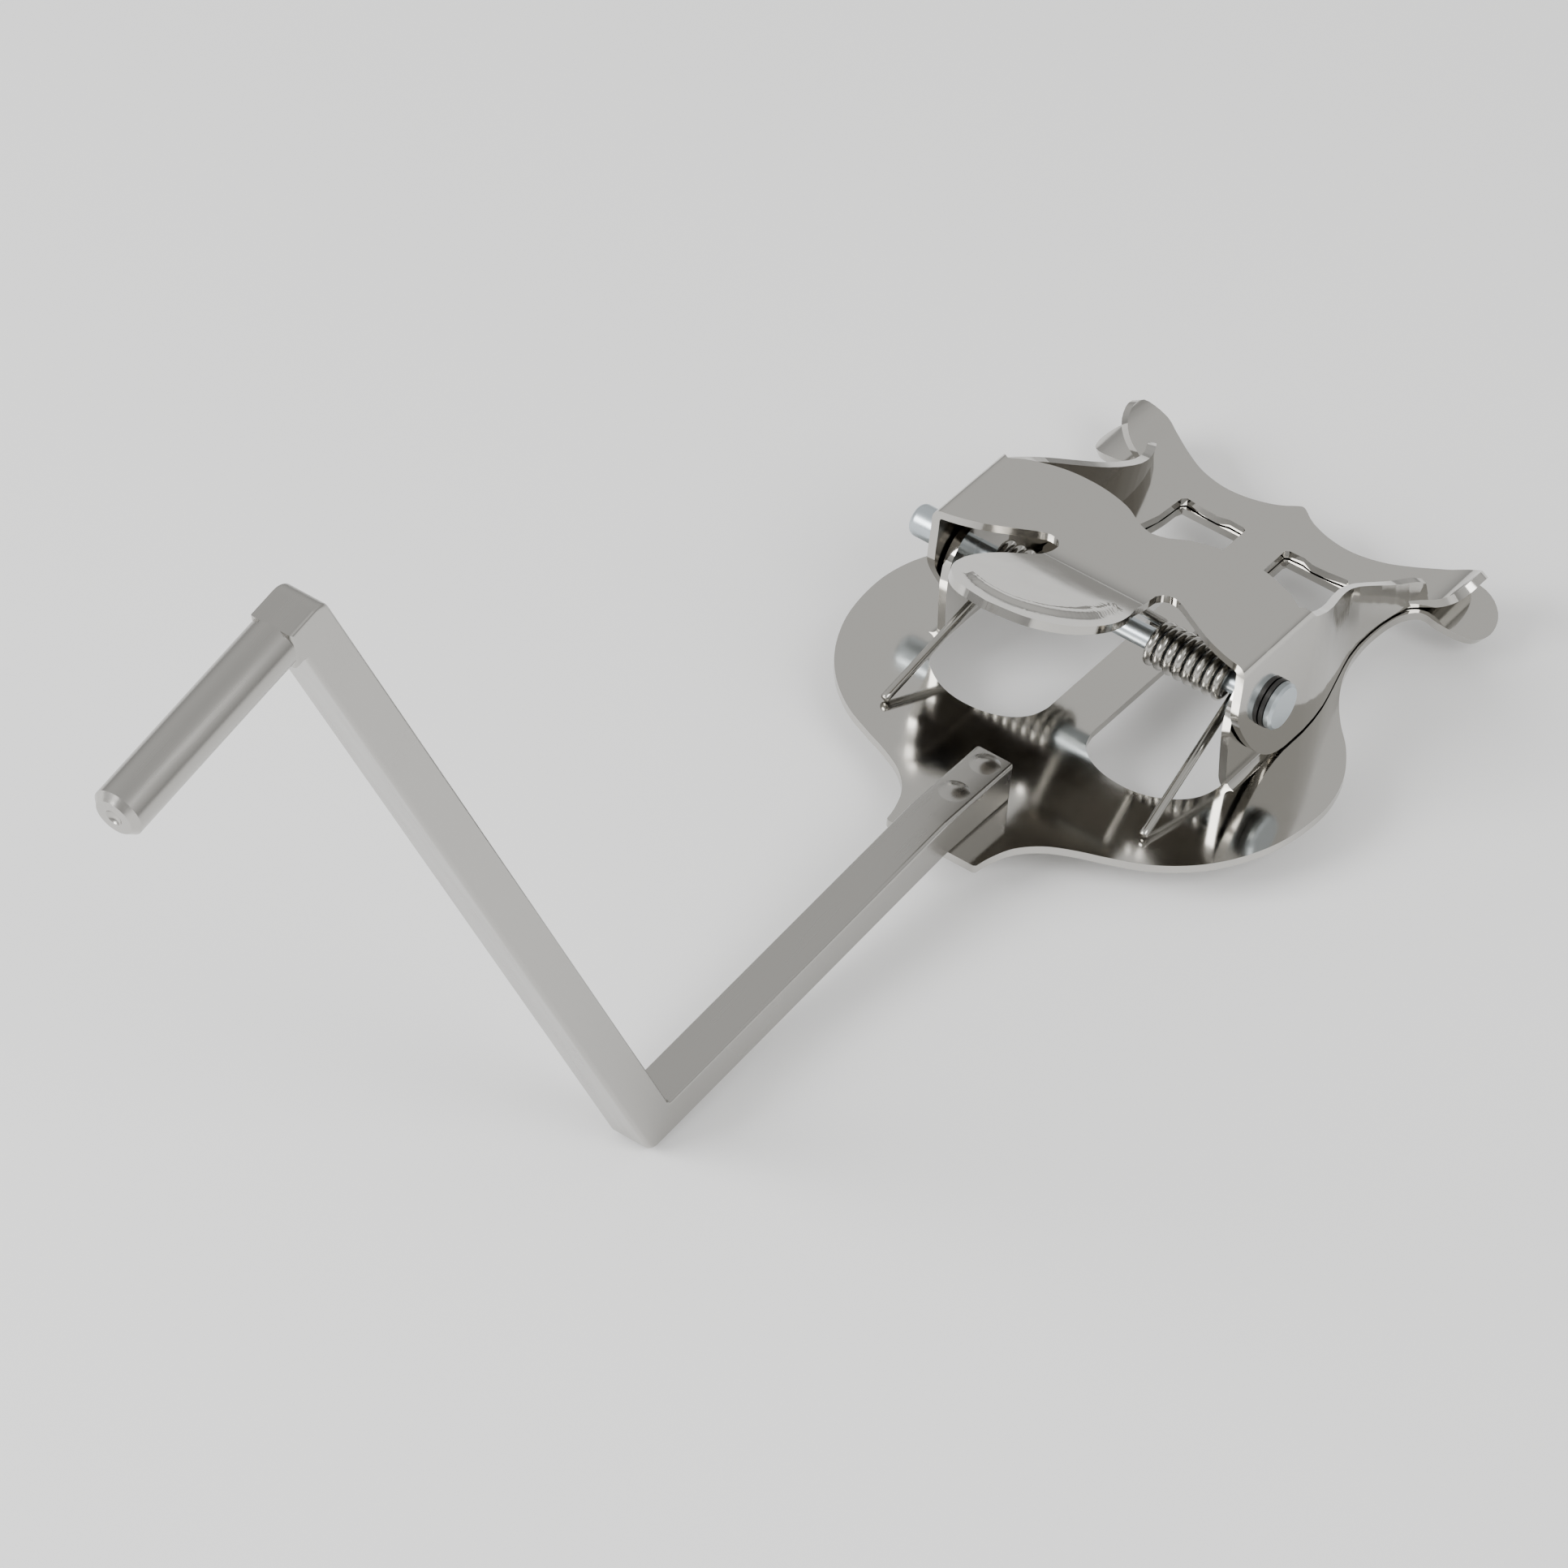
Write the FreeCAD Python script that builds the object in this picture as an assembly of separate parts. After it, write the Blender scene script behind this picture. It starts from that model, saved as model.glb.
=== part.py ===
import FreeCAD, Part
import math
import os

# Sheet-music lyre: a sprung two-jaw clip on a cranked stem.
# Millimetres. Design origin: on the plate's top face, straight below the hinge pin.
# +X right along the pin, +Y from the stem to the mouth, +Z up out of the plate.

SHEET = 1.0
PLATE_GAP = 0.15

PIN_Z = 9.6
PIN_R = 1.3
PIN_HOLE_R = 1.36

SADDLE_TOP = 18.8
WALL_X = 20.6
FOLD_R = 1.6
TAB_ANGLE = 27.0
TAB_BEND_Y = -4.6

EAR_X = 19.25
EAR_TOP = 14.3

BAR = 5.0
TANG_END_Y = -22.4
NECK_Y = -33.9
HEEL_Y = -86.2
HEEL_Z = -3.0
HEAD_Y = -153.0
HEAD_Z = 108.9
SHANK_R = 2.75
SHANK_LEN = 24.0
SHANK_DROOP = 14.7

WIRE_R = 0.55
COIL_R = 2.2
COIL_PITCH = 1.28
COIL_TURNS = 8
COIL_OUTER_X = 15.6
FOOT_X = 17.2
LOWER_LEG_ANGLE = 20.0
UPPER_LEG_ANGLE = 45.0

RIVET_R = 1.25
RIVET_YS = (-30.2, -24.4)

V = FreeCAD.Vector

# right-hand half of the plate outline, from the neck round to the crown's peak
PLATE_SIDE = [(6.0, -33.9), (6.4, -31.4), (7.5, -28.6), (9.6, -26.3), (12.6, -24.7),
              (16.0, -23.3), (19.6, -21.6), (22.8, -19.2), (25.4, -16.3), (27.4, -12.9),
              (28.9, -8.8), (29.6, -4.2), (29.5, 0.2), (28.3, 4.6), (25.9, 8.7),
              (23.0, 12.0), (20.6, 15.4), (18.7, 19.5), (17.7, 24.0), (17.6, 28.5),
              (18.3, 32.2), (19.6, 34.6)]
CROWN_SIDE = [(19.6, 41.2), (17.6, 40.3), (15.2, 38.5), (12.2, 36.9), (8.7, 36.1),
              (5.4, 36.4), (2.4, 37.5), (0.0, 39.2)]
OPENING = [(3.0, -7.2), (3.6, -9.3), (5.2, -11.1), (8.0, -12.3), (11.6, -12.5),
           (14.8, -11.5), (17.4, -9.4), (18.6, -6.6)]


def vecs(points, z=0.0):
    return [V(x, y, z) for x, y in points]


def curve(points):
    c = Part.BSplineCurve()
    c.interpolate(points)
    return c.toShape()


def lines(points):
    return [Part.makeLine(a, b) for a, b in zip(points[:-1], points[1:])]


def face(edges):
    return Part.Face(Part.Wire(Part.__sortEdges__(edges)))


def mirrored(shape):
    return shape.mirror(V(0, 0, 0), V(1, 0, 0))


def box(x0, x1, y0, y1, z0, z1):
    return Part.makeBox(x1 - x0, y1 - y0, z1 - z0, V(x0, y0, z0))


def rod(radius, start, end):
    return Part.makeCylinder(radius, (end - start).Length, start, end - start)


def plate_slab(z0, thickness, side):
    crown = vecs(CROWN_SIDE, z0)
    edges = [curve(vecs(side, z0)), Part.makeLine(V(side[-1][0], side[-1][1], z0), crown[0])]
    edges.append(curve(crown))
    edges.append(Part.makeLine(crown[-1], V(0, side[0][1], z0)))
    edges.append(Part.makeLine(V(0, side[0][1], z0), V(side[0][0], side[0][1], z0)))
    half = face(edges).extrude(V(0, 0, thickness))
    return half.fuse(mirrored(half)).removeSplitter()


def plate_opening(z0, height):
    front = vecs(OPENING, z0)
    back = [(18.6, 6.6), (17.6, 11.5), (15.2, 17.0), (12.9, 22.0), (11.6, 27.0), (11.3, 31.2)]
    back = vecs(back, z0)
    edges = [curve(front), Part.makeLine(front[-1], back[0]), curve(back)]
    edges += lines([back[-1], V(3.0, 31.2, z0), front[0]])
    return face(edges).extrude(V(0, 0, height))


def horn(z_top, angle, reach, half_width):
    """Rounded tab beside the mouth, turned up (positive angle) or down about its root."""
    root = 18.8
    r = half_width
    tab = box(0, reach - r, -r, r, -SHEET, 0)
    tab = tab.fuse(Part.makeCylinder(r, SHEET, V(reach - r, 0, -SHEET)))
    tab = tab.common(box(0, reach, -r, r, -SHEET, 0)).removeSplitter()
    tab.rotate(V(0, 0, -SHEET / 2), V(0, 1, 0), -angle)
    tab.translate(V(root, 37.9, z_top))
    return tab


def ear():
    side = [(-5.0, -SHEET), (-5.0, 0.2), (-6.5, 3.4), (-6.6, 9.2), (-4.6, 13.2),
            (-1.8, EAR_TOP), (1.8, EAR_TOP), (4.6, 13.2), (6.6, 9.2), (6.5, 3.4),
            (5.0, 0.2), (5.0, -SHEET)]
    pts = [V(EAR_X - SHEET, y, z) for y, z in side]
    pts.append(pts[0])
    blank = face(lines(pts)).extrude(V(SHEET, 0, 0))
    hole = rod(PIN_HOLE_R, V(EAR_X - 5, 0, PIN_Z), V(EAR_X + 5, 0, PIN_Z))
    return blank.cut(hole)


def base_plate():
    body = plate_slab(-SHEET, SHEET, PLATE_SIDE)
    cutter = plate_opening(-3, 6)
    body = body.cut(cutter).cut(mirrored(cutter))
    foot = box(EAR_X - SHEET, EAR_X, -5, 5, -SHEET, 0)
    body = body.fuse([foot, mirrored(foot), ear(), mirrored(ear())])
    tip = horn(0.0, -14.0, 7.8, 4.4)
    body = body.fuse([tip, mirrored(tip)]).removeSplitter()
    for y in RIVET_YS:
        body = body.cut(rod(RIVET_R, V(0, y, -3), V(0, y, 3)))
    return body


def wall_side():
    """Side view of one wall in (y, z): front lip, belly under the pin, ramp to the crown."""
    low = PLATE_GAP
    return [(-6.9, SADDLE_TOP), (-7.1, 11.4), (-5.8, 8.4), (-3.9, 5.0), (-1.4, 2.4),
            (1.8, low + 0.7), (6.0, low), (34.4, low), (34.4, 2.2), (30.0, 4.2),
            (22.8, 8.6), (15.6, 12.6), (9.9, 15.6), (4.8, SADDLE_TOP)]


def wall():
    plan = [(WALL_X, -9.0), (WALL_X, 0.0), (WALL_X, 8.0), (20.0, 13.0), (18.8, 17.5),
            (17.6, 22.0), (17.2, 27.0), (17.6, 31.0), (18.6, 35.0)]
    outer = curve(vecs(plan))
    inner = curve(vecs([(x - SHEET, y) for x, y in plan]))
    ends = [Part.makeLine(V(WALL_X, -9, 0), V(WALL_X - SHEET, -9, 0)),
            Part.makeLine(V(18.6, 35, 0), V(18.6 - SHEET, 35, 0))]
    strip = face([outer, inner] + ends).extrude(V(0, 0, 25))
    pts = [V(10, y, z) for y, z in wall_side()]
    pts.append(pts[0])
    profile = face(lines(pts)).extrude(V(20, 0, 0))
    return strip.common(profile)


def saddle_half():
    rear = [(WALL_X, 4.8), (17.0, 6.9), (13.0, 8.1), (8.6, 8.2), (4.6, 7.4), (1.8, 5.8),
            (0.0, 5.2)]
    front = [(WALL_X, -6.9), (17.6, -6.1), (14.0, -4.9), (11.0, -3.2), (8.8, -2.3),
             (7.2, -2.6), (6.3, -4.6)]
    z = SADDLE_TOP - SHEET
    a = vecs(rear, z)
    b = vecs(front, z)
    edges = [curve(a), curve(b), Part.makeLine(a[0], b[0])]
    edges += lines([a[-1], V(0, -4.6, z), b[-1]])
    return face(edges).extrude(V(0, 0, SHEET))


def thumb_tab():
    """Wide oval tongue, drawn flat along -Y from the bend line, then turned up."""
    side = [(6.3, 0.2), (6.9, -3.6), (8.2, -7.6), (8.9, -12.0), (8.6, -17.0), (6.9, -21.6),
            (3.9, -24.9), (0.0, -26.2)]
    pts = vecs(side, -SHEET)
    edges = [curve(pts)] + lines([pts[-1], V(0, 0.2, -SHEET), pts[0]])
    half = face(edges).extrude(V(0, 0, SHEET))
    tab = half.fuse(mirrored(half)).removeSplitter()
    rib = Part.makeTorus(13.0, 0.75, V(0, -9.8, -0.05), V(0, 0, 1))
    rib = rib.common(box(-7.2, 7.2, -24, -17.5, -1, 2))
    tab = tab.fuse(rib)
    tab.rotate(V(0, 0, -SHEET), V(1, 0, 0), -TAB_ANGLE)
    tab.translate(V(0, TAB_BEND_Y, SADDLE_TOP))
    return tab


def jaw_crown():
    side = [(0.0, 14.0), (19.6, 14.0), (18.4, 19.0), (17.2, 24.0), (17.2, 28.5), (18.0, 32.2),
            (19.6, 34.6)]
    z = PLATE_GAP
    crown = vecs(CROWN_SIDE, z)
    edges = [curve(vecs(side[1:], z)), Part.makeLine(V(19.6, 34.6, z), crown[0]), curve(crown)]
    edges += lines([crown[-1], V(0, 14, z), V(19.6, 14, z)])
    half = face(edges).extrude(V(0, 0, SHEET))
    hole = [(2.7, 13.0), (2.7, 31.6), (7.0, 31.5), (11.2, 31.8), (11.6, 27.0), (14.2, 20.0),
            (16.2, 14.0), (16.6, 13.0)]
    pts = vecs(hole, -1)
    pts.append(pts[0])
    half = half.cut(face(lines(pts)).extrude(V(0, 0, 4)))
    return half.fuse(mirrored(half)).removeSplitter()


def upper_jaw():
    body = jaw_crown()
    parts = [wall(), mirrored(wall()), saddle_half(), mirrored(saddle_half()), thumb_tab()]
    body = body.fuse(parts)
    tip = horn(SHEET + PLATE_GAP, 35.0, 6.2, 3.4)
    body = body.fuse([tip, mirrored(tip)]).removeSplitter()
    folds = [e for e in body.Edges if is_fold(e)]
    if folds:
        body = body.makeFillet(FOLD_R * 0.5, folds)
    hole = rod(PIN_HOLE_R, V(-40, 0, PIN_Z), V(40, 0, PIN_Z))
    return body.cut(hole)


def is_fold(edge):
    b = edge.BoundBox
    straight = b.XLength < 0.01 and b.ZLength < 0.01
    outside = abs(abs(b.XMin) - WALL_X) < 0.01
    return straight and outside and abs(b.ZMin - SADDLE_TOP) < 0.01 and b.YLength > 5


def pivot_pin():
    shaft = rod(PIN_R, V(-26.0, 0, PIN_Z), V(21.6, 0, PIN_Z))
    head = rod(2.8, V(21.3, 0, PIN_Z), V(22.2, 0, PIN_Z))
    rim = [e for e in head.Edges if abs(e.BoundBox.XMin - 22.2) < 0.01 and e.BoundBox.XLength < 0.01]
    head = head.makeChamfer(0.3, rim)
    stub = rod(1.95, V(-26.8, 0, PIN_Z), V(-21.0, 0, PIN_Z))
    end = [e for e in stub.Edges if abs(e.BoundBox.XMin + 26.8) < 0.01 and e.BoundBox.XLength < 0.01]
    stub = stub.makeFillet(0.8, end)
    return shaft.fuse([head, stub]).removeSplitter()


def washer():
    ring = rod(2.9, V(20.7, 0, PIN_Z), V(21.2, 0, PIN_Z))
    return ring.cut(rod(PIN_HOLE_R, V(20, 0, PIN_Z), V(23, 0, PIN_Z)))


def on_coil(x, degrees):
    a = math.radians(degrees)
    return V(x, COIL_R * math.cos(a), PIN_Z + COIL_R * math.sin(a))


def spring():
    """Torsion spring on the right: lower leg, coil round the pin, upper leg."""
    start = LOWER_LEG_ANGLE - 90.0
    sweep = 360.0 * COIL_TURNS + UPPER_LEG_ANGLE - start
    length = COIL_PITCH * sweep / 360.0
    helix = Part.Wire(Part.makeHelix(COIL_PITCH, length, COIL_R, 0, True))
    lead = V(0, -2 * math.pi * COIL_R, COIL_PITCH)
    circle = Part.Wire(Part.makeCircle(WIRE_R, V(COIL_R, 0, 0), lead))
    coil = helix.makePipeShell([circle], True, True)
    a = math.radians(start)
    m = FreeCAD.Matrix()
    m.A11, m.A12, m.A13 = 0.0, 0.0, -1.0
    m.A21, m.A22, m.A23 = math.cos(a), math.sin(a), 0.0
    m.A31, m.A32, m.A33 = math.sin(a), -math.cos(a), 0.0
    m.A14, m.A24, m.A34 = COIL_OUTER_X, 0.0, PIN_Z
    coil.Placement = FreeCAD.Placement(m)
    first = on_coil(COIL_OUTER_X, start)
    last = on_coil(COIL_OUTER_X - length, UPPER_LEG_ANGLE)
    low = math.radians(LOWER_LEG_ANGLE)
    run = (first.z - WIRE_R - 0.02) / math.sin(low)
    foot = first + V(0, -math.cos(low), -math.sin(low)) * run
    foot.x = FOOT_X
    high = math.radians(UPPER_LEG_ANGLE)
    rise = (SADDLE_TOP - SHEET - WIRE_R - 0.05 - last.z) / math.cos(high)
    crook = last + V(0, -math.sin(high), math.cos(high)) * rise
    into_first = (first - foot).normalize() * 0.5
    into_last = (last - crook).normalize() * 0.5
    body = coil.fuse(Part.makeSphere(WIRE_R + 0.01, first))
    body = body.fuse(rod(WIRE_R - 0.01, first + into_first, foot))
    body = body.fuse(Part.makeSphere(WIRE_R + 0.01, last))
    return body.fuse(rod(WIRE_R - 0.01, last + into_last, crook))


def stem():
    half = BAR / 2
    points = [(TANG_END_Y, half), (NECK_Y - 1.0, half), (HEEL_Y, HEEL_Z), (HEAD_Y, HEAD_Z)]
    droop = math.radians(SHANK_DROOP)
    out = V(0, -math.cos(droop), -math.sin(droop))
    head = V(0, HEAD_Y, HEAD_Z)
    root = head + out * (half + 0.8)
    path = [V(0, y, z) for y, z in points] + [root]
    offsets = []
    for i in range(len(path)):
        before = path[i] - path[i - 1] if i > 0 else path[1] - path[0]
        after = path[i + 1] - path[i] if i < len(path) - 1 else before
        a = V(0, -before.z, before.y).normalize()
        b = V(0, -after.z, after.y).normalize()
        mid = (a + b).normalize()
        offsets.append(mid * (half / mid.dot(a)))
    upper = [p + o for p, o in zip(path, offsets)]
    lower = [p - o for p, o in zip(path, offsets)]
    loop = upper + lower[::-1] + [upper[0]]
    loop = [V(-half, p.y, p.z) for p in loop]
    bar = face(lines(loop)).extrude(V(BAR, 0, 0))
    bar = round_bends(bar, [upper[2], lower[3]], 2.2)
    bar = round_bends(bar, [lower[2], upper[3]], 0.6)
    long_edges = [e for e in bar.Edges if e.BoundBox.XLength < 0.01]
    bar = bar.makeFillet(0.45, long_edges)
    tip = root + out * SHANK_LEN
    shank = rod(SHANK_R, root, tip)
    rim = [e for e in shank.Edges if e.Length < 18 and (e.CenterOfMass - tip).Length < 0.1]
    shank = shank.makeChamfer(0.7, rim)
    dimple = Part.makeSphere(1.1, tip + out * 0.6)
    body = bar.fuse(shank).cut(dimple)
    for y in RIVET_YS:
        body = body.cut(rod(RIVET_R, V(0, y, -3), V(0, y, 8)))
    return body, root, tip, out


def round_bends(bar, corners, radius):
    edges = []
    for e in bar.Edges:
        c = e.CenterOfMass
        near = [p for p in corners if abs(c.y - p.y) < 0.01 and abs(c.z - p.z) < 0.01]
        if near and e.BoundBox.XLength > BAR - 0.1:
            edges.append(e)
    return bar.makeFillet(radius, edges)


def rivet(y):
    shank = rod(RIVET_R, V(0, y, -SHEET), V(0, y, BAR))
    top = Part.makeSphere(3.6, V(0, y, BAR + 0.45 - 3.6))
    top = top.common(box(-3, 3, y - 3, y + 3, BAR, BAR + 2))
    bottom = Part.makeSphere(3.6, V(0, y, -SHEET - 0.45 + 3.6))
    bottom = bottom.common(box(-3, 3, y - 3, y + 3, -SHEET - 2, -SHEET))
    return shank.fuse([top, bottom]).removeSplitter()


def main():
    bar, root, tip, out = stem()
    middle = (root + tip) * 0.5
    right_spring = spring()
    nodes = {
        "base_plate": base_plate(),
        "upper_jaw": upper_jaw(),
        "pivot_pin": pivot_pin(),
        "pin_washer": washer(),
        "spring_right": right_spring,
        "spring_left": mirrored(right_spring),
        "stem": bar,
        "rivet_neck": rivet(RIVET_YS[0]),
        "rivet_tang": rivet(RIVET_YS[1]),
    }
    os.makedirs("parts", exist_ok=True)
    for name, shape in nodes.items():
        moved = shape.copy()
        moved.translate(middle * -1)
        moved.exportStep("parts/" + name + ".step")
        b = moved.BoundBox
        print(name, shape.isValid(), len(shape.Solids), round(shape.Volume, 1),
              [round(v, 2) for v in (b.XMin, b.XMax, b.YMin, b.YMax, b.ZMin, b.ZMax)])
    print("shank middle in design coordinates", middle, "out", out)


main()
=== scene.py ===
import bpy
import bmesh
import math
from mathutils import Matrix, Vector


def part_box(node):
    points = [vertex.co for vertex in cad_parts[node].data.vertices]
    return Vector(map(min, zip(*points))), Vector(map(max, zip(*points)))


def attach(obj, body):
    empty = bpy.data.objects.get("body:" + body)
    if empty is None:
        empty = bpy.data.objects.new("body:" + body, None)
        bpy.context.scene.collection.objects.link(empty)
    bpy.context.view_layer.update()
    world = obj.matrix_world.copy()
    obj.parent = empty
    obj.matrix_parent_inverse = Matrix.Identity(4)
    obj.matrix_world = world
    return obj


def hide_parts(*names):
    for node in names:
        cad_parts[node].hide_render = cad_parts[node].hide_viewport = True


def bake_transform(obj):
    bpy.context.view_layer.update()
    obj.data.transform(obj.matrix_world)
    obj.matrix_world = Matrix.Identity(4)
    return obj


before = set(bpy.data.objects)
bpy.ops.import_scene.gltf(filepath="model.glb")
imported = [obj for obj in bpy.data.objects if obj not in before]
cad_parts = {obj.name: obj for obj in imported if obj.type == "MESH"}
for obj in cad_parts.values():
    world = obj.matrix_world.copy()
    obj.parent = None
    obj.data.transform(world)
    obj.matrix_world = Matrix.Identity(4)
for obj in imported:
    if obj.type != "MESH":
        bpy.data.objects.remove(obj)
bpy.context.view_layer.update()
mm = 0.001

# the design origin: on the plate's top face, straight below the hinge pin
washerLow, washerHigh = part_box("pin_washer")
pinY = (washerLow[1] + washerHigh[1]) / 2
pinZ = (washerLow[2] + washerHigh[2]) / 2
pinHeight = 9.6
base = Vector((0, pinY, pinZ - pinHeight * mm))


def place(x, y, z):
    return base + Vector((x, y, z)) * mm


def clamp(v, low=0.0, high=1.0):
    return max(low, min(high, v))


def smooth(v, low, high):
    t = clamp((v - low) / (high - low))
    return t * t * (3 - 2 * t)


# points along a smooth open curve through the given ones
def spline(points, step=0.6):
    out = []
    for i in range(len(points) - 1):
        p0 = Vector(points[max(i - 1, 0)])
        p1 = Vector(points[i])
        p2 = Vector(points[i + 1])
        p3 = Vector(points[min(i + 2, len(points) - 1)])
        count = max(2, int((p2 - p1).length / step))
        for k in range(count):
            t = k / count
            a = 2 * p1
            b = p2 - p0
            c = 2 * p0 - 5 * p1 + 4 * p2 - p3
            d = 3 * p1 - p0 - 3 * p2 + p3
            out.append((a + b * t + c * t * t + d * t * t * t) * 0.5)
    out.append(Vector(points[-1]))
    return [tuple(p) for p in out]


# closes a half outline, whose ends lie on x = 0, with its mirror image
def mirrorLoop(half):
    other = [(-x, y) for x, y in reversed(half) if abs(x) > 1e-6]
    return list(half) + other


# value of a table of (at, value) pairs, straight between its entries
def lookup(table, v):
    for (a, fa), (b, fb) in zip(table[:-1], table[1:]):
        if v <= b:
            t = clamp((v - a) / (b - a))
            return fa + (fb - fa) * t
    return table[-1][1]


# a flat sheet blank: filled outlines, cut across wherever it will be bent
def blank(loops, cutsX=(), cutsY=()):
    bm = bmesh.new()
    for loop in loops:
        verts = [bm.verts.new((x, y, 0)) for x, y in loop]
        for a, b in zip(verts, verts[1:] + verts[:1]):
            bm.edges.new((a, b))
    bmesh.ops.triangle_fill(bm, edges=bm.edges[:], use_beauty=True, use_dissolve=False)
    for x in cutsX:
        cut(bm, (x, 0, 0), (1, 0, 0))
    for y in cutsY:
        cut(bm, (0, y, 0), (0, 1, 0))
    bmesh.ops.remove_doubles(bm, verts=bm.verts[:], dist=0.002)
    bmesh.ops.recalc_face_normals(bm, faces=bm.faces[:])
    if bm.faces and sum(f.normal.z for f in bm.faces) < 0:
        bmesh.ops.reverse_faces(bm, faces=bm.faces[:])
    return bm


# cuts across the whole blank, or only across the faces within (x0, x1, y0, y1)
def cut(bm, at, normal, within=None):
    faces = bm.faces[:]
    if within:
        x0, x1, y0, y1 = within
        faces = [f for f in faces if all(x0 - 0.01 <= v.co.x <= x1 + 0.01
                                         and y0 - 0.01 <= v.co.y <= y1 + 0.01 for v in f.verts)]
    edges = {e for f in faces for e in f.edges}
    verts = {v for f in faces for v in f.verts}
    geom = list(verts) + list(edges) + faces
    bmesh.ops.bisect_plane(bm, geom=geom, dist=0.0005, plane_co=at, plane_no=normal)


def shape(bm, mapping):
    for v in bm.verts:
        v.co = Vector(mapping(v.co.x, v.co.y))
    return bm


# gives a formed blank its thickness, towards its underside; a shadeSlot of 1 gives the underside faces the
# second material, a dark nickel that is painted shade
def formed(bm, thickness, shadeSlot=0):
    bm.normal_update()
    mesh = bpy.data.meshes.new("sheet")
    bm.to_mesh(mesh)
    bm.free()
    obj = bpy.data.objects.new("sheet", mesh)
    bpy.context.scene.collection.objects.link(obj)
    mod = obj.modifiers.new("thick", "SOLIDIFY")
    mod.thickness = thickness
    mod.offset = -1
    mod.use_even_offset = True
    mod.material_offset = shadeSlot
    for _ in range(shadeSlot + 1):
        mesh.materials.append(None)
    return apply(obj)


# makes the modifiers' result the object's own mesh
def apply(obj):
    bpy.context.view_layer.update()
    graph = bpy.context.evaluated_depsgraph_get()
    mesh = bpy.data.meshes.new_from_object(obj.evaluated_get(graph))
    old = obj.data
    obj.modifiers.clear()
    obj.data = mesh
    bpy.data.meshes.remove(old)
    return obj


# joins formed parts into one named piece, in place and in metres
def join(parts, name, materials, angle=32):
    bm = bmesh.new()
    for part in parts:
        bm.from_mesh(part.data)
        bpy.data.objects.remove(part)
    for v in bm.verts:
        v.co = place(*v.co)
    for f in bm.faces:
        f.smooth = True
    for e in bm.edges:
        e.smooth = e.calc_face_angle(0) < math.radians(angle)
    mesh = bpy.data.meshes.new(name)
    bm.to_mesh(mesh)
    bm.free()
    for material in materials:
        mesh.materials.append(material)
    obj = bpy.data.objects.new(name, mesh)
    bpy.context.scene.collection.objects.link(obj)
    weigh = obj.modifiers.new("weigh", "WEIGHTED_NORMAL")
    weigh.keep_sharp = True
    weigh.weight = 80
    return apply(obj)


# a metal whose roughness varies by grain, with waves of depth bump in its surface
def metal(name, color, roughness, grain=0.0, grainScale=(1, 1, 1), bump=0.0):
    mat = bpy.data.materials.new(name)
    mat.use_nodes = True
    nodes = mat.node_tree.nodes
    links = mat.node_tree.links
    shader = nodes["Principled BSDF"]
    shader.inputs["Base Color"].default_value = (*color, 1)
    shader.inputs["Metallic"].default_value = 1.0
    shader.inputs["Roughness"].default_value = roughness
    coords = nodes.new("ShaderNodeTexCoord")
    if grain:
        mapping = nodes.new("ShaderNodeMapping")
        mapping.inputs["Scale"].default_value = grainScale
        links.new(coords.outputs["Object"], mapping.inputs["Vector"])
        noise = nodes.new("ShaderNodeTexNoise")
        noise.inputs["Scale"].default_value = 300
        noise.inputs["Detail"].default_value = 4
        links.new(mapping.outputs["Vector"], noise.inputs["Vector"])
        ramp = nodes.new("ShaderNodeMapRange")
        ramp.inputs["From Min"].default_value = 0.3
        ramp.inputs["From Max"].default_value = 0.7
        ramp.inputs["To Min"].default_value = roughness - grain
        ramp.inputs["To Max"].default_value = roughness + grain
        links.new(noise.outputs["Fac"], ramp.inputs["Value"])
        links.new(ramp.outputs["Result"], shader.inputs["Roughness"])
    if bump:
        wave = nodes.new("ShaderNodeTexNoise")
        wave.inputs["Scale"].default_value = 55
        wave.inputs["Detail"].default_value = 1
        links.new(coords.outputs["Object"], wave.inputs["Vector"])
        node = nodes.new("ShaderNodeBump")
        node.inputs["Strength"].default_value = 1.0
        node.inputs["Distance"].default_value = bump
        links.new(wave.outputs["Fac"], node.inputs["Height"])
        links.new(node.outputs["Normal"], shader.inputs["Normal"])
    return mat


polished = metal("polished_nickel", (0.49, 0.478, 0.452), 0.10, grain=0.03, bump=0.00005)
# painted shade: a dark nickel on the jaw's underside and inner wall faces, standing in for the shade that
# falls inside the jaw, not a different plating
paintedShadeNickel = metal("painted_shade_nickel", (0.17, 0.155, 0.13), 0.2, grain=0.04)
barNickel = metal("bar_nickel", (0.41, 0.40, 0.38), 0.25, grain=0.04, grainScale=(3, 0.25, 0.25),
                  bump=0.00003)
zinc = metal("bright_zinc", (0.50, 0.55, 0.585), 0.34, grain=0.06)
darkSteel = metal("dark_steel", (0.10, 0.10, 0.10), 0.4)
wireSteel = metal("spring_wire", (0.42, 0.41, 0.385), 0.2, grain=0.05)

# shared outline of both crowns, from the horn's root round to the peak
crownSide = [(19.8, 41.6), (18.0, 40.4), (15.2, 38.5), (12.2, 36.9), (8.7, 36.1),
             (5.4, 36.4), (2.4, 37.5), (0.5, 38.9), (0.0, 39.1)]

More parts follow.
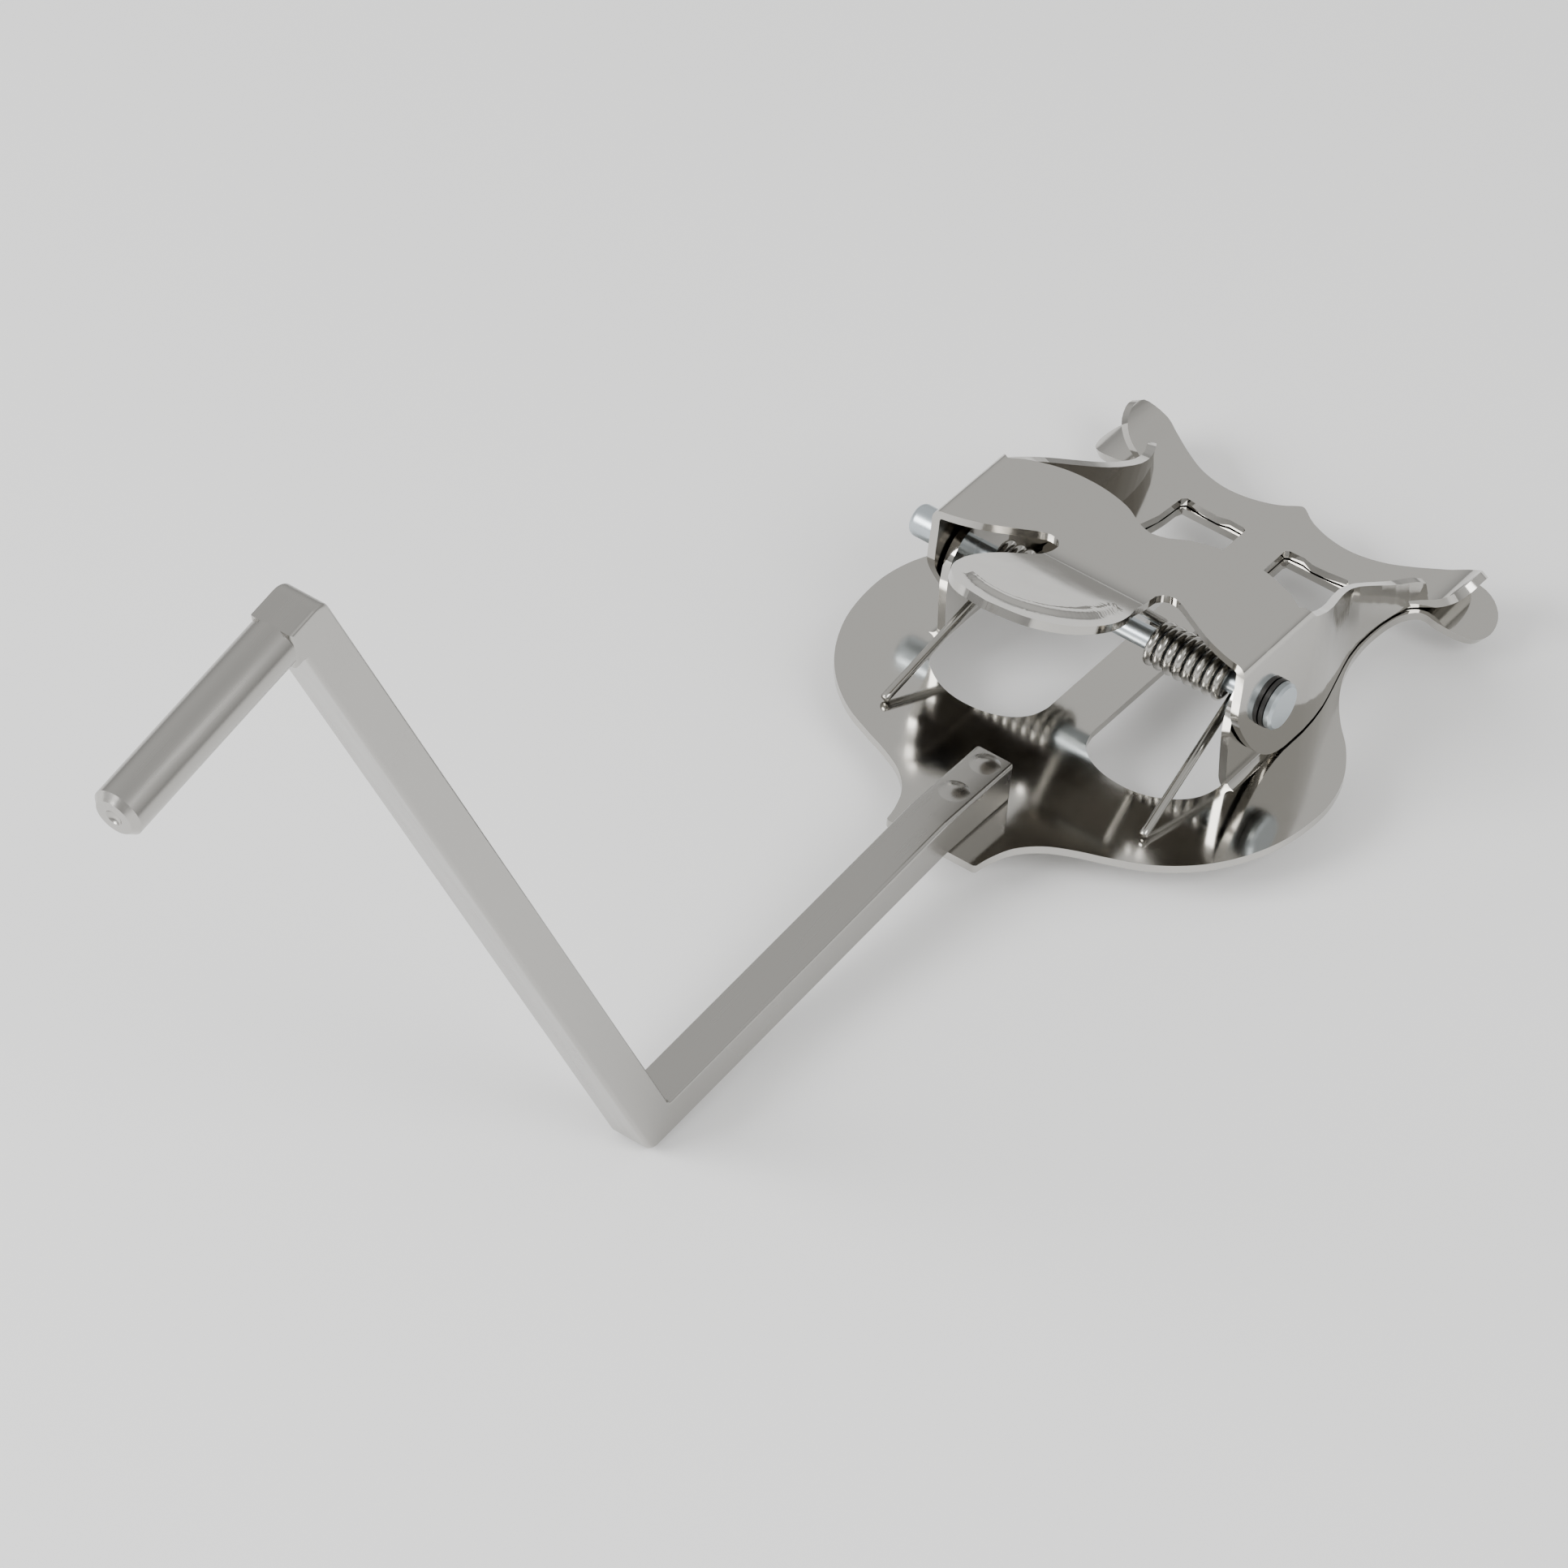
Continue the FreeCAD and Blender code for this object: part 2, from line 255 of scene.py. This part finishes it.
plate = {
    "thickness": 1.0,
    "neck": [(0.0, -33.9), (5.6, -33.9)],
    "side": [(5.9, -33.7), (6.3, -31.6), (7.4, -28.8), (9.6, -26.4), (12.6, -24.7), (16.0, -23.3),
             (19.6, -21.6), (22.8, -19.2), (25.4, -16.3), (27.4, -12.9), (28.9, -8.8), (29.6, -4.2),
             (29.5, 0.2), (28.3, 4.6), (25.9, 8.7), (23.0, 12.0), (20.6, 15.4), (18.7, 19.5),
             (17.7, 24.0), (17.6, 28.5), (18.2, 31.8)],
    "horn": [(19.6, 33.6), (21.8, 33.6), (24.2, 34.2), (26.1, 35.6), (26.8, 38.0), (26.1, 40.4),
             (24.3, 41.9), (22.0, 42.3)],
    "openingFront": [(11.0, 31.2), (3.2, 31.2), (3.0, 30.8)],
    "opening": [(3.0, -7.2), (3.6, -9.3), (5.2, -11.1), (8.0, -12.3), (11.6, -12.5), (14.8, -11.5),
                (17.4, -9.4), (18.6, -6.6), (18.9, -2.0), (18.9, 3.0), (18.6, 6.6), (17.6, 11.5),
                (15.2, 17.0), (12.9, 22.0), (11.6, 27.0), (11.3, 30.4)],
    "hornCurl": 12.0,
    "hornRoot": 19.4,
    "hornFrom": 31,
}


def plateBlank():
    half = plate["neck"] + spline(plate["side"] + plate["horn"] + crownSide)
    hole = spline(plate["opening"]) + plate["openingFront"]
    other = [(-x, y) for x, y in hole]
    cuts = [s * x * 0.5 for s in (-1, 1) for x in range(38, 56)]
    return blank([mirrorLoop(half), hole, other], cutsX=cuts)


def plateForm(x, y):
    over = abs(x) - plate["hornRoot"]
    if over <= 0 or y < plate["hornFrom"]:
        return x, y, 0.0
    r = plate["hornCurl"]
    a = over / r
    return math.copysign(plate["hornRoot"] + r * math.sin(a), x), y, -r * (1 - math.cos(a))


ear = {
    "side": [(-5.3, 0.02), (-5.3, 0.6), (-5.6, 3.0), (-5.9, 6.0), (-6.0, 9.0), (-5.4, 11.7), (-3.4, 13.7),
             (0.0, 14.3)],
    "outer": 19.25,
    "foot": 1.3,
    "cuts": [0.04, 0.1, 0.2, 0.35, 0.55, 0.8, 1.05, 1.3],
}


def earPart(sign):
    half = spline(ear["side"])
    loop = half + [(-y, z) for y, z in reversed(half[:-1])]
    bm = blank([loop], cutsY=ear["cuts"])

    def stand(y, z):
        r = ear["foot"]
        below = clamp(r - z, 0, r)
        return sign * (ear["outer"] + r - math.sqrt(r * r - below * below)), y, z

    shape(bm, stand)
    bm.normal_update()
    if bm.faces[0].normal.x * sign < 0:
        bmesh.ops.reverse_faces(bm, faces=bm.faces[:])
    return formed(bm, plate["thickness"])


basePlate = join([formed(shape(plateBlank(), plateForm), plate["thickness"]), earPart(1), earPart(-1)],
                 "basePlate", [polished])
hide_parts("base_plate")
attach(basePlate, "holder")
print("base plate done")

jaw = {
    "thickness": 1.0,
    "top": 18.8,
    "fold": 1.3,
    "half": 20.6,
    "rear": [(0.0, 5.2), (1.8, 5.7), (4.6, 7.3), (8.6, 8.2), (13.0, 8.1), (17.0, 6.9), (19.3, 5.5)],
    "ramp": [(4.9, 18.7), (7.2, 17.1), (9.9, 15.7), (15.6, 12.8), (22.8, 8.9), (29.0, 5.4),
             (32.0, 4.0), (34.2, 3.4), (35.2, 2.9)],
    "belly": [(35.4, 1.4), (33.4, 0.3), (20.0, 0.3), (6.0, 0.3), (3.6, 0.45), (1.4, 1.1), (-1.2, 2.9),
              (-3.6, 5.6), (-5.6, 8.6), (-6.8, 10.8), (-7.1, 12.2), (-7.0, 15.0), (-6.95, 17.4)],
    "arm": [(19.3, -6.9), (17.6, -6.5), (14.6, -5.4), (11.6, -3.8), (9.6, -2.7), (8.2, -2.2), (7.0, -2.5),
            (6.4, -3.4)],
    "tab": [(6.4, -4.6), (6.9, -8.2), (8.1, -12.4), (8.8, -16.8), (8.6, -21.6), (7.3, -26.2), (4.4, -29.8),
            (0.0, -31.2)],
    "crescent": [(-5.2, -25.4), (-2.6, -26.9), (0.8, -26.9), (3.8, -24.4), (5.7, -20.2), (6.2, -15.8),
                 (5.8, -11.8)],
    "plan": [(-10, 0.0), (8, 0.0), (10.5, -0.2), (13, -0.6), (15, -1.1), (17.5, -1.8), (20, -2.5),
             (22, -3.0), (24.5, -3.35), (27, -3.4), (29, -3.3), (31, -3.0), (33, -2.5),
             (35, -1.6), (36, -0.9), (37.5, 0.4)],
    "lean": 0.11,
    "bendAt": -2.6,
    "bendRadius": 9.0,
    "bendAngle": 27.0,
    "gap": 0.15,
    "tabSide": 9.6,
    "tabFront": -31.6,
    "tabRoot": -2.4,
    "tabStep": 0.4,
    "ribHeight": 0.4,
}


# side-view points (y, z) of a wall, as blank points (u, y)
def unrolled(points):
    flat = jaw["half"] - jaw["fold"]
    start = flat + jaw["fold"] * math.pi / 2
    return [(start + (jaw["top"] - jaw["fold"] - z), y) for y, z in points]


def saddleBlank():
    rear = spline(jaw["rear"])
    ramp = spline(unrolled([p for p in jaw["ramp"] if p[1] < 17.4]), 1.0)
    belly = spline(unrolled(jaw["belly"]), 0.8)
    arm = spline(jaw["arm"])
    tab = spline(jaw["tab"])
    half = rear + ramp + belly + arm + tab
    flat = jaw["half"] - jaw["fold"]
    arc = jaw["fold"] * math.pi / 2
    folds = [flat - 0.25] + [flat + arc * i / 6 for i in range(7)] + [flat + arc + 0.25]
    cutsX = [s * u for s in (-1, 1) for u in folds]
    cutsY = [8 + i * 0.9 for i in range(30)]
    wide, front, root, step = jaw["tabSide"], jaw["tabFront"], jaw["tabRoot"], jaw["tabStep"]
    tabArea = (-wide, wide, front, root)
    bm = blank([mirrorLoop(half)], cutsX=cutsX + [-wide, wide], cutsY=cutsY + [root])
    for i in range(int(2 * wide / step) + 1):
        cut(bm, (-wide + i * step, 0, 0), (1, 0, 0), tabArea)
    for i in range(int((root - front) / step) + 1):
        cut(bm, (0, front + i * step, 0), (0, 1, 0), tabArea)
    return bm


crescent = [Vector((x, y, 0)) for x, y in spline(jaw["crescent"])]


# height of the pressed crescent near the lever's front edge
def rib(x, y):
    p = Vector((x, y, 0))
    count = len(crescent) - 1
    near = min(range(count + 1), key=lambda i: (crescent[i] - p).length)
    half = 0.3 + 0.8 * math.sin(math.pi * near / count) ** 0.5
    d = (crescent[near] - p).length / half
    return jaw["ribHeight"] * (1 - smooth(d, 0.55, 1.3))


def saddleForm(u, y):
    side = math.copysign(1, u)
    s = abs(u)
    flat = jaw["half"] - jaw["fold"]
    arc = jaw["fold"] * math.pi / 2
    if s <= flat:
        x, z = s, jaw["top"]
    elif s <= flat + arc:
        a = (s - flat) / jaw["fold"]
        x = flat + jaw["fold"] * math.sin(a)
        z = jaw["top"] - jaw["fold"] * (1 - math.cos(a))
    else:
        x, z = jaw["half"], jaw["top"] - jaw["fold"] - (s - flat - arc)
    if s > flat:
        share = smooth(s, flat, flat + arc)
        x += (lookup(jaw["plan"], y) - jaw["lean"] * z * smooth(y, 6, 24)) * share
        return side * x, y, z
    t = jaw["bendAt"] - y
    if t > 0 and s < jaw["tabSide"]:
        lift = rib(u, y)
        r = jaw["bendRadius"]
        most = math.radians(jaw["bendAngle"])
        a = min(t / r, most)
        on = max(t - r * most, 0)
        ny = jaw["bendAt"] - r * math.sin(a) - on * math.cos(a)
        nz = z + r * (1 - math.cos(a)) + on * math.sin(a)
        return u, ny + lift * math.sin(a), nz + lift * math.cos(a)
    return side * x, y, z


jawCrown = {
    "side": [(18.4, 14.0), (18.2, 17.5), (17.2, 20.0), (16.6, 24.0), (16.6, 28.5),
             (17.5, 32.2), (19.0, 34.2)],
    "horn": [(20.4, 34.9), (21.9, 35.6), (23.4, 36.8), (24.2, 38.6), (23.8, 40.3),
             (22.4, 41.4), (21.0, 41.8)],
    "hole": [(2.7, 13.2), (2.7, 31.3), (3.1, 31.6), (5.0, 31.7), (6.4, 31.3), (8.5, 31.4), (10.8, 31.7),
             (11.3, 31.2), (11.6, 27.0), (13.0, 22.0), (15.4, 15.4), (16.2, 13.2)],
    "hornRoot": 18.4,
    "hornCurl": 5.2,
    "hornFrom": 33,
}


def crownBlank():
    half = spline(jawCrown["side"] + jawCrown["horn"] + crownSide)
    half = [(0.0, 12.4), (2.7, 12.4)] + jawCrown["hole"] + [(18.0, 13.2)] + half
    cuts = [s * x * 0.4 for s in (-1, 1) for x in range(44, 66)]
    return blank([mirrorLoop(half)], cutsX=cuts)


def crownForm(x, y):
    z = jaw["gap"] + jaw["thickness"]
    over = abs(x) - jawCrown["hornRoot"]
    if over <= 0 or y < jawCrown["hornFrom"]:
        return x, y, z
    r = jawCrown["hornCurl"]
    a = over / r
    rise = r * (1 - math.cos(a))
    return math.copysign(jawCrown["hornRoot"] + r * math.sin(a), x), y, z + rise


# the saddle's underside and inner wall faces take the dark nickel, painted shade
upperJaw = join([formed(shape(saddleBlank(), saddleForm), jaw["thickness"], 1),
                 formed(shape(crownBlank(), crownForm), jaw["thickness"])],
                "upperJaw", [polished, paintedShadeNickel])
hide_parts("upper_jaw")
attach(upperJaw, "jaw")
print("upper jaw done")


# a round wire swept along a path of design points, with rounded-off ends
def tube(path, radius, name, sides=14):
    bm = bmesh.new()
    pts = [Vector(p) for p in path]
    tangents = []
    for i in range(len(pts)):
        a = pts[max(i - 1, 0)]
        b = pts[min(i + 1, len(pts) - 1)]
        tangents.append((b - a).normalized())
    normal = tangents[0].orthogonal().normalized()
    rings = []
    for i, (p, t) in enumerate(zip(pts, tangents)):
        normal = (normal - t * normal.dot(t)).normalized()
        other = t.cross(normal)
        shrink = 0.82 if i in (0, len(pts) - 1) else 1.0
        ring = []
        for k in range(sides):
            a = 2 * math.pi * k / sides
            ring.append(bm.verts.new(p + (normal * math.cos(a) + other * math.sin(a)) * radius * shrink))
        rings.append(ring)
    for r0, r1 in zip(rings[:-1], rings[1:]):
        for k in range(sides):
            bm.faces.new((r0[k], r0[(k + 1) % sides], r1[(k + 1) % sides], r1[k]))
    bm.faces.new(list(reversed(rings[0])))
    bm.faces.new(rings[-1])
    bmesh.ops.recalc_face_normals(bm, faces=bm.faces[:])
    mesh = bpy.data.meshes.new(name)
    bm.to_mesh(mesh)
    bm.free()
    return bpy.data.objects.new(name, mesh)


spring = {
    "wire": 0.55,
    "coil": 2.2,
    "foot": 17.2,
    "pitch": 1.28,
    "turns": 8,
    "outer": 15.6,
    "lower": 20.0,
    "upper": 45.0,
}


def springPath(side):
    start = math.radians(spring["lower"] - 90)
    sweep = math.radians(360 * spring["turns"] + spring["upper"]) - start
    low = math.radians(spring["lower"])
    high = math.radians(spring["upper"])

    def coil(a):
        x = spring["outer"] - spring["pitch"] * (a - start) / (2 * math.pi)
        return Vector((x, spring["coil"] * math.cos(a), pinHeight + spring["coil"] * math.sin(a)))

    first = coil(start)
    last = coil(start + sweep)
    run = (first.z - spring["wire"] - 0.02) / math.sin(low)
    away = Vector(((spring["foot"] - first.x) / run, -math.cos(low), -math.sin(low)))
    rise = (jaw["top"] - jaw["thickness"] - spring["wire"] - 0.1 - last.z) / math.cos(high)
    up = Vector((0, -math.sin(high), math.cos(high)))
    path = [first + away * run * (1 - i / 24) for i in range(24)]
    path[0:1] = [first + away * run, first + away * (run - 0.12)]
    turns = int(sweep / math.radians(11))
    path += [coil(start + sweep * i / turns) for i in range(turns + 1)]
    path += [last + up * rise * (i + 1) / 10 for i in range(10)]
    return [(side * p.x, p.y, p.z) for p in path]


for side, name, node in ((1, "springRight", "spring_right"), (-1, "springLeft", "spring_left")):
    piece = join([tube(springPath(side), spring["wire"], name + "Raw")], name, [wireSteel], 60)
    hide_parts(node)
    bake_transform(piece)
print("springs done")

for node, material in (("pivot_pin", zinc), ("pin_washer", darkSteel), ("stem", barNickel),
                       ("rivet_neck", barNickel), ("rivet_tang", barNickel)):
    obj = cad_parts[node]
    obj.data.materials.clear()
    obj.data.materials.append(material)

print("finishes done")

world = bpy.data.worlds.new("studio")
bpy.context.scene.world = world
world.use_nodes = True
sky = world.node_tree.nodes
link = world.node_tree.links
back = sky["Background"]
coords = sky.new("ShaderNodeTexCoord")
split = sky.new("ShaderNodeSeparateXYZ")
link.new(coords.outputs["Generated"], split.inputs["Vector"])
ramp = sky.new("ShaderNodeValToRGB")
link.new(split.outputs["Z"], ramp.inputs["Fac"])
stops = [(0.0, 0.42), (0.15, 0.6), (0.40, 0.8), (0.60, 0.86), (0.75, 0.85), (0.90, 0.8), (1.0, 0.75)]
while len(ramp.color_ramp.elements) < len(stops):
    ramp.color_ramp.elements.new(0.5)
for element, (at, level) in zip(ramp.color_ramp.elements, stops):
    element.position = at
    element.color = (level, level, level * 0.985, 1)
link.new(ramp.outputs["Color"], back.inputs["Color"])
back.inputs["Strength"].default_value = 1.0


def light(name, at, to, size, power):
    data = bpy.data.lights.new(name, "AREA")
    data.shape = "RECTANGLE"
    data.size, data.size_y = size
    data.energy = power
    obj = bpy.data.objects.new(name, data)
    bpy.context.scene.collection.objects.link(obj)
    obj.location = at
    obj.rotation_euler = (Vector(to) - Vector(at)).to_track_quat("-Z", "Y").to_euler()


center = place(0, -60, 20)
light("key", center + Vector((-0.45, -0.75, 0.55)), center, (0.6, 0.45), 12)
light("fill", center + Vector((0.8, -0.3, 0.8)), center, (0.5, 0.5), 6)

floorGap = 0.5  # the floor lies this far below the lowest piece
low = min(c[2] for c in (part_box("base_plate")[0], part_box("stem")[0])) - floorGap * mm
floorMesh = bpy.data.meshes.new("floor")
bm = bmesh.new()
bmesh.ops.create_grid(bm, x_segments=1, y_segments=1, size=3.0)
bm.to_mesh(floorMesh)
bm.free()
floor = bpy.data.objects.new("floor", floorMesh)
bpy.context.scene.collection.objects.link(floor)
floor.location = (center.x, center.y, low)
pale = bpy.data.materials.new("pale_floor")
pale.use_nodes = True
shader = pale.node_tree.nodes["Principled BSDF"]
shader.inputs["Base Color"].default_value = (0.92, 0.92, 0.92, 1)
shader.inputs["Roughness"].default_value = 0.9
shader.inputs["Specular IOR Level"].default_value = 0.0
floorMesh.materials.append(pale)
print("studio done")

camera = {
    "azimuth": -58.064,
    "elevation": 41.199,
    "roll": 5.853,
    "lens": 223.6,
    "from": (402.38, -710.36, 695.13),
}
camData = bpy.data.cameras.new("camera")
camData.lens = camera["lens"]
camData.sensor_width = 36
camData.clip_start = 0.01
camObj = bpy.data.objects.new("camera", camData)
bpy.context.scene.collection.objects.link(camObj)
bpy.context.scene.camera = camObj
az = math.radians(camera["azimuth"])
el = math.radians(camera["elevation"])
out = Vector((math.cos(el) * math.cos(az), math.cos(el) * math.sin(az), math.sin(el)))
flat = Vector((-math.sin(az), math.cos(az), 0))
up = out.cross(flat)
roll = math.radians(camera["roll"])
right = flat * math.cos(roll) + up * math.sin(roll)
up = out.cross(right)
turn = Matrix((right, up, out)).transposed().to_4x4()
camObj.matrix_world = Matrix.Translation(place(*camera["from"])) @ turn
print("camera done")
